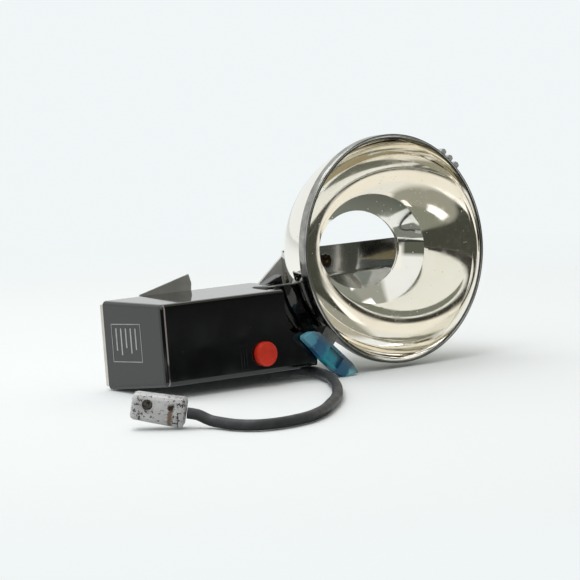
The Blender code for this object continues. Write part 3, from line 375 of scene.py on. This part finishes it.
def ramp(tree, source, stops):
    """Reads a colour off a row of (place, colour) stops."""
    made = add(tree, "ShaderNodeValToRGB", None, {"Fac": source})
    while len(made.color_ramp.elements) < len(stops):
        made.color_ramp.elements.new(0.5)
    for element, (place, colour) in zip(made.color_ramp.elements, stops):
        element.position = place
        element.color = (*colour, 1.0)
    return made.outputs["Color"]


def spread(tree, source, given, wanted=(0.0, 1.0)):
    """Maps a value from one range to another, and holds it at the ends."""
    values = {
        "From Min": given[0], "From Max": given[1], "To Min": wanted[0], "To Max": wanted[1],
    }
    return add(tree, "ShaderNodeMapRange", values, {"Value": source}).outputs["Result"]


def mix_colour(tree, fac, a, b):
    """Mixes two colours, each given as a tuple or as a node's output."""
    made = add(tree, "ShaderNodeMix", None, {"Factor": fac}, data_type="RGBA")
    for index, value in ((6, a), (7, b)):
        if isinstance(value, tuple):
            made.inputs[index].default_value = (*value, 1.0)
        else:
            tree.links.new(value, made.inputs[index])
    return made.outputs[2]


def drifting(tree, source, key, given=DRIFT):
    """A material's two tones, mixed by a noise."""
    return mix_colour(tree, spread(tree, source, given), *TONES[key])


def math_node(tree, operation, a, b=None, clamp=False):
    made = add(tree, "ShaderNodeMath", operation=operation, use_clamp=clamp)
    for index, value in ((0, a), (1, b)):
        if value is None:
            continue
        if isinstance(value, (int, float)):
            made.inputs[index].default_value = value
        else:
            tree.links.new(value, made.inputs[index])
    return made.outputs[0]


def bump(tree, height, strength, distance):
    values = {"Strength": strength, "Distance": distance}
    return add(tree, "ShaderNodeBump", values, {"Height": height}).outputs["Normal"]


def specks(tree, scale, size, share):
    """Small round specks: a mask that is 1 in the middle of some cells."""
    cells = add(tree, "ShaderNodeTexVoronoi", {"Scale": scale}, {"Vector": object_coords(tree)})
    near = spread(tree, cells.outputs["Distance"], (size * 0.6, size), (1.0, 0.0))
    parts = add(tree, "ShaderNodeSeparateColor", None, {"Color": cells.outputs["Color"]})
    chosen = math_node(tree, "LESS_THAN", parts.outputs[0], share)
    return math_node(tree, "MULTIPLY", near, chosen)


def along(tree, piece, origin, direction):
    """How far a point of a piece lies from an origin along a direction of the model's frame."""
    unit = Vector(direction).normalized()
    offset = (piece.matrix_world.translation - origin).dot(unit)
    coords = add(tree, "ShaderNodeTexCoord")
    made = add(
        tree, "ShaderNodeVectorMath", {1: piece.matrix_world.to_3x3().transposed() @ unit},
        {0: coords.outputs["Object"]}, operation="DOT_PRODUCT",
    )
    return math_node(tree, "ADD", made.outputs["Value"], offset)


def patch(tree, across, up, centre, half, soft):
    """A soft-edged box mask over two coordinates."""
    masks = []
    for source, middle, reach in ((across, centre[0], half[0]), (up, centre[1], half[1])):
        away = math_node(tree, "ABSOLUTE", math_node(tree, "SUBTRACT", source, middle))
        masks.append(spread(tree, away, (reach, reach + soft), (1.0, 0.0)))
    return math_node(tree, "MULTIPLY", *masks)


# Materials

def painted_edge_highlight(tree, piece):
    """A broken pale line along the case's upright edge between its end and its front, painted as
    the edge's highlight.
    """
    end = along(tree, piece, case_point(0.0, 0.0, 0.0), case_way(1.0, 0.0, 0.0))
    front = along(tree, piece, case_point(0.0, CASE_DEPTH, 0.0), case_way(0.0, -1.0, 0.0))
    line = patch(tree, end, front, (EDGE_HIGHLIGHT_PLACE, 0.0), (EDGE_HIGHLIGHT_WIDTH, EDGE_HIGHLIGHT_DEPTH), EDGE_HIGHLIGHT_WIDTH)
    broken = spread(tree, noise(tree, EDGE_HIGHLIGHT_SCALE), (0.40, 0.52), (0.15, 0.9))
    return math_node(tree, "MULTIPLY", line, broken)


def black_plastic(name, highlit_piece=None):
    """Glossy black moulding with pale dust specks; on the piece given, a broken pale line is
    painted along the front corner's edge as its highlight.
    """
    material, tree, shader = new_material(name)
    shader.inputs["IOR"].default_value = 1.65
    dust = specks(tree, scale=420.0, size=0.13, share=0.06)
    cloud = noise(tree, 60.0, 4.0)
    dust_and_highlight = math_node(tree, "MULTIPLY", dust, spread(tree, cloud, (0.5, 0.7)))
    # On the given piece, a pale line painted as the highlight of the case's rounded edge joins the
    # dust
    if highlit_piece:
        dust_and_highlight = math_node(tree, "MAXIMUM", dust_and_highlight, painted_edge_highlight(tree, highlit_piece), clamp=True)
    wire(
        tree, shader, mix_colour(tree, dust_and_highlight, BLACK, BLACK_DUST_AND_HIGHLIGHT),
        spread(tree, cloud, (0.35, 0.75), (0.03, 0.09)),
        bump(tree, noise(tree, 35.0, 2.0), strength=0.05, distance=0.0004),
    )
    return material


def metal(name, key, roughness, grain_scale, stretch=(1.0, 1.0, 1.0), bump_strength=0.1):
    """A metal whose colour and roughness drift a little, with grain along one direction."""
    material, tree, shader = new_material(name)
    shader.inputs["Metallic"].default_value = 1.0
    grain = noise(tree, grain_scale, 3.0, 0.6, stretch)
    cloud = noise(tree, 45.0, 4.0, 0.6)
    wire(
        tree, shader, drifting(tree, grain, key),
        spread(tree, cloud, (0.3, 0.75), (roughness * 0.75, roughness * 1.4)),
        bump(tree, grain, bump_strength, distance=0.0003),
    )
    return material


def mirror_metal():
    """Polished metal with a few dull spots, dust and wiped smears."""
    material, tree, shader = new_material("bowl_mirror")
    shader.inputs["Metallic"].default_value = 1.0
    tone = drifting(tree, noise(tree, 30.0, 4.0, 0.6), "bowl", (0.4, 0.7))
    spots = specks(tree, scale=260.0, size=0.13, share=0.05)
    dust = math_node(tree, "MULTIPLY", specks(tree, scale=520.0, size=0.22, share=0.12), 0.35)
    smears = spread(tree, noise(tree, 75.0, 6.0, 0.7), (0.45, 0.75), (0.02, 0.16))
    wire(
        tree, shader, mix_colour(tree, spots, tone, MIRROR_SPOTS),
        math_node(tree, "ADD", smears, dust),
    )
    return material


def red_plastic():
    material, tree, shader = new_material("red_button")
    shader.inputs["Specular IOR Level"].default_value = 0.3
    cloud = noise(tree, 160.0, 3.0)
    wire(
        tree, shader, drifting(tree, cloud, "red"),
        spread(tree, cloud, (0.3, 0.8), (0.22, 0.40)),
    )
    return material


def blue_plastic():
    """A clear blue moulding, banded by the light that its folds and channel pass on."""
    material, tree, shader = new_material("blue_clip")
    shader.inputs["IOR"].default_value = 1.49
    shader.inputs["Transmission Weight"].default_value = 0.30
    sin, cos = math.sin(CLIP_ANGLE), math.cos(CLIP_ANGLE)
    middle = case_point(BOWL_X, RIM_FRONT, BOWL_Z)
    tangent = along(tree, NODES["rim_clip"], middle, case_way(-sin, 0.0, cos))
    radial = along(tree, NODES["rim_clip"], middle, case_way(cos, 0.0, sin))
    cloud = noise(tree, 260.0, 4.0, 0.6)
    shaken = math_node(tree, "ADD", tangent, spread(tree, cloud, (0.3, 0.7), (-0.0012, 0.0012)))
    bands = ramp(tree, spread(tree, shaken, CLIP_REACH), CLIP_BANDS)
    inner = spread(tree, radial, CLIP_CHANNEL, (0.0, 0.75))
    wire(
        tree, shader, mix_colour(tree, inner, bands, CLIP_INSIDE),
        spread(tree, cloud, (0.3, 0.8), (0.12, 0.34)),
    )
    return material


def rubber():
    material, tree, shader = new_material("cord_rubber")
    cloud = noise(tree, 180.0, 4.0, 0.6)
    wire(
        tree, shader, drifting(tree, cloud, "cord"),
        spread(tree, cloud, (0.3, 0.8), (0.42, 0.58)),
        bump(tree, noise(tree, 1500.0, 2.0), strength=0.2, distance=0.0001),
    )
    return material


def worn_plug():
    """Pale plating worn off a dark moulding in spots, with a recess painted dark as rust and shade
    and a rusty run below it.
    """
    material, tree, shader = new_material("worn_plug")
    flakes = noise(tree, 620.0, 5.0, 0.65)
    cloud = noise(tree, 130.0, 3.0)
    loose = math_node(tree, "ADD", flakes, spread(tree, cloud, (0.4, 0.7), (-0.05, 0.05)))
    bare = spread(tree, loose, (0.550, 0.585))
    tone = mix_colour(tree, bare, drifting(tree, cloud, "plug"), PLUG_BARE)
    origin = plug_frame().translation
    turn = plug_frame().to_3x3()
    across, up, front = (
        along(tree, NODES["plug_body"], origin, turn @ Vector(way))
        for way in ((1.0, 0.0, 0.0), (0.0, 0.0, 1.0), (0.0, -1.0, 0.0))
    )
    facing = spread(tree, front, PLUG_FACE)
    ragged = spread(tree, flakes, (0.3, 0.7), (-0.0011, 0.0011))
    across = math_node(tree, "ADD", across, ragged)
    up = math_node(tree, "ADD", up, ragged)
    # The run is painted with rust; the recess with rust and painted shade
    for (centre, half), rust in ((PLUG_RUN, RUST_RUN), (PLUG_RECESS, RUST_AND_SHADE_RECESS)):
        mask = patch(tree, across, up, centre, half, PLUG_SOFT)
        tone = mix_colour(tree, math_node(tree, "MULTIPLY", mask, facing), tone, rust)
    tree.links.new(spread(tree, bare, (0.0, 1.0), (0.35, 0.05)), shader.inputs["Metallic"])
    wire(
        tree, shader, tone, spread(tree, flakes, (0.3, 0.7), (0.32, 0.60)),
        bump(tree, flakes, strength=0.3, distance=0.0002),
    )
    return material


def plain(name, key, roughness, scale=120.0, metallic=0.0):
    """A matte or satin surface whose colour and roughness drift a little."""
    material, tree, shader = new_material(name)
    shader.inputs["Metallic"].default_value = metallic
    cloud = noise(tree, scale, 4.0, 0.6)
    wire(
        tree, shader, drifting(tree, cloud, key),
        spread(tree, cloud, (0.3, 0.8), (roughness * 0.8, roughness * 1.2)),
    )
    return material


def make_materials():
    return {
        "black": black_plastic("black_moulding"),
        "case": black_plastic("case_moulding", NODES["case_shell"]),
        "plate": metal("plate_metal", "plate", 0.34, 240.0, stretch=(0.08, 1.0, 1.0)),
        "foot": plain("satin_steel", "foot", 0.42, scale=90.0, metallic=0.55),
        "steel": metal("polished_steel", "steel", 0.12, 180.0, (0.1, 1.0, 1.0), 0.04),
        "bowl": mirror_metal(),
        "ring": metal("ring_metal", "ring", 0.16, 150.0, bump_strength=0.05),
        "red": red_plastic(),
        "print": plain("pale_print", "print", 0.5),
        "blue": blue_plastic(),
        "cord": rubber(),
        "plug": worn_plug(),
        "brass": metal("brass", "brass", 0.3, 200.0),
        "fibre": plain("fibre_board", "fibre", 0.7),
        "battery": plain("battery_card", "battery", 0.6),
        "can": metal("capacitor_can", "can", 0.3, 220.0),
    }


def dress_nodes(materials):
    for name, key in NODE_MATERIALS.items():
        mesh = NODES[name].data
        mesh.materials.clear()
        mesh.materials.append(materials[key])


# Mesh helpers

def add_piece(name, bm, material):
    """Makes an object of a mesh in the model's frame, which rides on the housing."""
    bmesh.ops.recalc_face_normals(bm, faces=bm.faces)
    mesh = bpy.data.meshes.new(name)
    bm.to_mesh(mesh)
    bm.free()
    mesh.materials.append(material)
    piece = link_object(name, mesh)
    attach(piece, "housing")
    return piece


def smooth(piece, degrees):
    piece.data.shade_smooth()
    piece.data.set_sharp_from_angle(angle=math.radians(degrees))


def bevel_piece(piece, width, segments):
    modifier = piece.modifiers.new("edges", "BEVEL")
    modifier.width = width
    modifier.segments = segments
    modifier.limit_method = "ANGLE"


def append_box(bm, low, high):
    """Adds a box in the case's frame between two corners given as (x, depth, z)."""
    centre = [(a + b) / 2 for a, b in zip(low, high)]
    size = [b - a for a, b in zip(low, high)]
    place = CASE_MATRIX @ Matrix.Translation((centre[0], -centre[1], centre[2]))
    bmesh.ops.create_cube(bm, size=1.0, matrix=place @ Matrix.Diagonal((*size, 1.0)))


def join_rings(bm, rings):
    """Joins closed rings of points, the last one to the first."""
    count = len(rings)
    turns = len(rings[0])
    for k in range(count):
        near, far = rings[k], rings[(k + 1) % count]
        for i in range(turns):
            j = (i + 1) % turns
            bm.faces.new((near[i], near[j], far[j], far[i]))


# Reflector

def bowl_curve():
    """The radius, the depth and the centre's depth of the ellipsoid of the bowl's outer face."""
    across = BOWL_RADIUS / math.cos(BOWL_CURVE_START)
    full = BOWL_DEPTH / (1.0 - math.sin(BOWL_CURVE_START))
    return across, full, RIM_FRONT - BOWL_BAND + full * math.sin(BOWL_CURVE_START)


def wall_depth(radial, shift):
    """The depth of the bowl's curve at a distance from its axis, moved in by a shift."""
    across, full, centre = bowl_curve()
    share = min(radial / (across - shift), 1.0)
    return min(centre - (full - shift) * math.sqrt(1.0 - share * share), RIM_FRONT - BOWL_BAND)


def wall_radius(depth):
    """The radius of the bowl's outer face at a depth of the case's frame."""
    across, full, centre = bowl_curve()
    return across * math.sqrt(1.0 - ((centre - depth) / full) ** 2)


def bowl_rings(shift):
    """Rings of points from the lamp opening out to the rim, on one face of the bowl."""
    radius = BOWL_RADIUS - shift
    rings = []
    for k in range(BOWL_STEPS + 1):
        t = math.sin(math.pi / 2 * k / BOWL_STEPS)
        ring = []
        for i in range(BOWL_TURNS):
            angle = 2 * math.pi * i / BOWL_TURNS
            cos, sin = math.cos(angle), math.sin(angle)
            x = (1 - t) * (OPENING_OFFSET + OPENING_RADIUS * cos) + t * radius * cos
            z = (1 - t) * (OPENING_RADIUS * sin - OPENING_DROP) + t * radius * sin
            ring.append((BOWL_X + x, wall_depth(math.hypot(x, z), shift), BOWL_Z + z))
        rings.append(ring)
    rim = [(x, RIM_FRONT, z) for x, _, z in rings[-1]]
    return rings + [rim]


def make_bowl(materials):
    """The bowl as one fine shell: inner face, rim edge, outer face and the opening's edge."""
    loops = bowl_rings(BOWL_SHEET) + list(reversed(bowl_rings(0.0)))
    bm = bmesh.new()
    join_rings(bm, [[bm.verts.new(case_point(*point)) for point in loop] for loop in loops])
    bowl = add_piece("bowl_mirror", bm, materials["bowl"])
    smooth(bowl, 50.0)
    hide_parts("reflector_bowl")


def band_profile():
    """The rim band's section: a fine groove behind a small rolled bead at the front."""
    inner = BOWL_RADIUS + RING_GAP
    outer = inner + RING_SHEET
    back = RIM_FRONT - BOWL_BAND
    profile = [(inner, back), (outer - GROOVE, back), (outer, back + GROOVE)]
    profile += [(outer, RIM_FRONT - GROOVE_BACK), (outer - GROOVE, RIM_FRONT - GROOVE_FRONT)]
    for k in range(BEAD_STEPS + 1):
        angle = math.radians(BEAD_START + (BEAD_END - BEAD_START) * k / BEAD_STEPS)
        depth = RIM_FRONT + BEAD_RADIUS * math.sin(angle)
        profile.append((outer - BEAD_INSET + BEAD_RADIUS * math.cos(angle), depth))
    return profile + [(inner, RIM_FRONT + RING_GAP)]


def make_ring(materials):
    bm = bmesh.new()
    rings = []
    for radius, depth in band_profile():
        ring = []
        for i in range(RING_TURNS):
            angle = 2 * math.pi * i / RING_TURNS
            x, z = BOWL_X + radius * math.cos(angle), BOWL_Z + radius * math.sin(angle)
            ring.append(bm.verts.new(case_point(x, depth, z)))
        rings.append(ring)
    join_rings(bm, rings)
    band = add_piece("rim_band", bm, materials["ring"])
    smooth(band, 40.0)
    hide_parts("rim_ring")


# Case details

def make_end_panel(materials):
    """A pale thin frame with short plain bars in it, on the end of the case."""
    near, far = PANEL_DEPTHS
    low, high = PANEL_HEIGHTS
    strips = [
        (near, far, low, low + PANEL_LINE),
        (near, far, high - PANEL_LINE, high),
        (near, near + PANEL_LINE, low + PANEL_LINE, high - PANEL_LINE),
        (far - PANEL_LINE, far, low + PANEL_LINE, high - PANEL_LINE),
    ]
    for k, length in enumerate(BAR_LENGTHS):
        depth = near + BAR_START + k * BAR_STEP
        strips.append((depth, depth + BAR_WIDTH, high - BAR_DROP - length, high - BAR_DROP))
    bm = bmesh.new()
    for depth_from, depth_to, z_from, z_to in strips:
        append_box(bm, (-PANEL_PROUD, depth_from, z_from), (PANEL_SUNK, depth_to, z_to))
    add_piece("end_panel", bm, materials["print"])


def make_front_ribs(materials):
    """Short plain ribs moulded on the front of the case."""
    low, high = RIB_HEIGHTS
    bm = bmesh.new()
    for k in range(RIB_COUNT):
        x = RIB_START + k * RIB_STEP
        corner = (x + RIB_WIDTH, CASE_DEPTH + RIB_PROUD, high)
        append_box(bm, (x, CASE_DEPTH - RIB_SUNK, low), corner)
    ribs = add_piece("front_ribs", bm, materials["black"])
    bevel_piece(ribs, RIB_EDGE, 1)


def web_outline(depth):
    """The web's outline at one depth: square in the pocket, hollow where the bowl's wall is."""
    left = CASE_LENGTH - POCKET_LENGTH + WEB_GAP
    end = CASE_LENGTH + WEB_GAP
    low = POCKET_HEIGHT + WEB_GAP
    high = CASE_WIDTH - WEB_GAP
    radius = wall_radius(depth) + WEB_GAP
    outline = [(left, high), (left, low + WEB_CORNER), (left + WEB_CORNER, low)]
    outline += [(end, low), (end, WEB_LOW)]
    for k in range(WEB_STEPS + 1):
        z = WEB_LOW + (high - WEB_LOW) * k / WEB_STEPS
        outline.append((BOWL_X - math.sqrt(radius ** 2 - (z - BOWL_Z) ** 2), z))
    return [case_point(x, depth, z) for x, z in outline]


def make_neck_web(materials):
    """The black body on the pocket's floor, which fills the way from the case to the bowl."""
    back = POCKET_FLOOR + WEB_GAP
    bm = bmesh.new()
    near = [bm.verts.new(point) for point in web_outline(back + WEB_THICK)]
    far = [bm.verts.new(point) for point in web_outline(back)]
    bm.faces.new(near)
    bm.faces.new(list(reversed(far)))
    for k in range(len(near)):
        j = (k + 1) % len(near)
        bm.faces.new((near[j], near[k], far[k], far[j]))
    web = add_piece("neck_web", bm, materials["black"])
    bevel_piece(web, WEB_EDGE, 3)


# Table, room and light

def table_material():
    """White paper that fades to the background far off; reflections also see patches of painted
    shade on it.
    """
    material = bpy.data.materials.new("white_table")
    material.use_nodes = True
    tree = material.node_tree
    tree.nodes.clear()
    path = add(tree, "ShaderNodeLightPath")
    seen, mirrored = path.outputs["Is Camera Ray"], path.outputs["Is Glossy Ray"]
    parts = add(tree, "ShaderNodeSeparateXYZ", None, {"Vector": object_coords(tree)})
    near = spread(tree, parts.outputs["Y"], (SHEET_END - SHEET_SOFT, SHEET_END + SHEET_SOFT))
    covered = math_node(tree, "MULTIPLY", mirrored, math_node(tree, "SUBTRACT", 1.0, near))
    colour = mix_colour(tree, covered, FLOOR_NEAR, FLOOR_FAR)
    # Patches of painted shade, seen only in reflections, over the paper's colour
    for centre, half, tone in SHADE_CARDS:
        shade_card = patch(tree, parts.outputs["X"], parts.outputs["Y"], centre, half, SHADE_CARD_SOFT)
        shade_card = math_node(tree, "MULTIPLY", mirrored, shade_card)
        colour = mix_colour(tree, shade_card, colour, tone)
        covered = math_node(tree, "MAXIMUM", covered, shade_card)
    away = add(tree, "ShaderNodeVectorMath", None, {0: object_coords(tree)}, operation="LENGTH")
    distant = spread(tree, away.outputs["Value"], (SHADOW_REACH, 2 * SHADOW_REACH))
    faded = math_node(tree, "MULTIPLY", distant, seen)
    filled = math_node(tree, "MULTIPLY", math_node(tree, "SUBTRACT", 1.0, seen), REFLECTED_FILL)
    share = math_node(
        tree, "MULTIPLY", math_node(tree, "MAXIMUM", faded, filled),
        math_node(tree, "SUBTRACT", 1.0, covered),
    )
    lit = add(tree, "ShaderNodeBsdfDiffuse", None, {"Color": colour})
    glow = add(tree, "ShaderNodeEmission", {"Color": (*BACKGROUND, 1.0), "Strength": 1.0})
    both = add(
        tree, "ShaderNodeMixShader", None, {"Fac": share, 1: lit.outputs[0], 2: glow.outputs[0]},
    )
    add(tree, "ShaderNodeOutputMaterial", None, {"Surface": both.outputs[0]})
    return material


def make_floor():
    bm = bmesh.new()
    bmesh.ops.create_grid(bm, x_segments=1, y_segments=1, size=TABLE_REACH)
    mesh = bpy.data.meshes.new("table")
    bm.to_mesh(mesh)
    bm.free()
    mesh.materials.append(table_material())
    link_object("table", mesh)


def make_world():
    """White where the camera looks; for light and reflections a pale room with darker zones."""
    world = bpy.data.worlds.new("studio")
    bpy.context.scene.world = world
    world.use_nodes = True
    tree = world.node_tree
    tree.nodes.clear()
    coords = add(tree, "ShaderNodeTexCoord")
    parts = add(tree, "ShaderNodeSeparateXYZ", None, {"Vector": coords.outputs["Generated"]})
    ahead = math_node(tree, "MULTIPLY", parts.outputs["Y"], -1.0)
    azimuth = math_node(tree, "DEGREES", math_node(tree, "ARCTAN2", parts.outputs["X"], ahead))
    height = math_node(tree, "DEGREES", math_node(tree, "ARCSINE", parts.outputs["Z"]))
    shade = WHITE_ROOM
    for centre, half, soft, colour in ROOM_ZONES:
        shade = mix_colour(tree, patch(tree, azimuth, height, centre, half, soft), shade, colour)
    room = add(tree, "ShaderNodeBackground", {"Strength": 1.0}, {"Color": shade})
    white = add(tree, "ShaderNodeBackground", {"Color": (*BACKGROUND, 1.0), "Strength": 1.0})
    path = add(tree, "ShaderNodeLightPath")
    both = add(
        tree, "ShaderNodeMixShader", None,
        {"Fac": path.outputs["Is Camera Ray"], 1: room.outputs[0], 2: white.outputs[0]},
    )
    add(tree, "ShaderNodeOutputWorld", None, {"Surface": both.outputs[0]})


def make_lamp():
    data = bpy.data.lights.new("overhead", "AREA")
    data.shape = "RECTANGLE"
    data.size, data.size_y = LAMP_SIZE
    data.energy = LAMP_POWER
    lamp = link_object("overhead", data)
    lamp.location = LAMP_PLACE
    lamp.rotation_mode = "QUATERNION"
    lamp.rotation_quaternion = (LAMP_AIM - LAMP_PLACE).to_track_quat("-Z", "Y")


def main():
    make_camera()
    materials = make_materials()
    make_cord(materials)
    dress_nodes(materials)
    make_bowl(materials)
    make_ring(materials)
    make_end_panel(materials)
    make_front_ribs(materials)
    make_neck_web(materials)
    make_floor()
    make_world()
    make_lamp()
    bpy.context.scene.view_settings.view_transform = "Standard"


main()
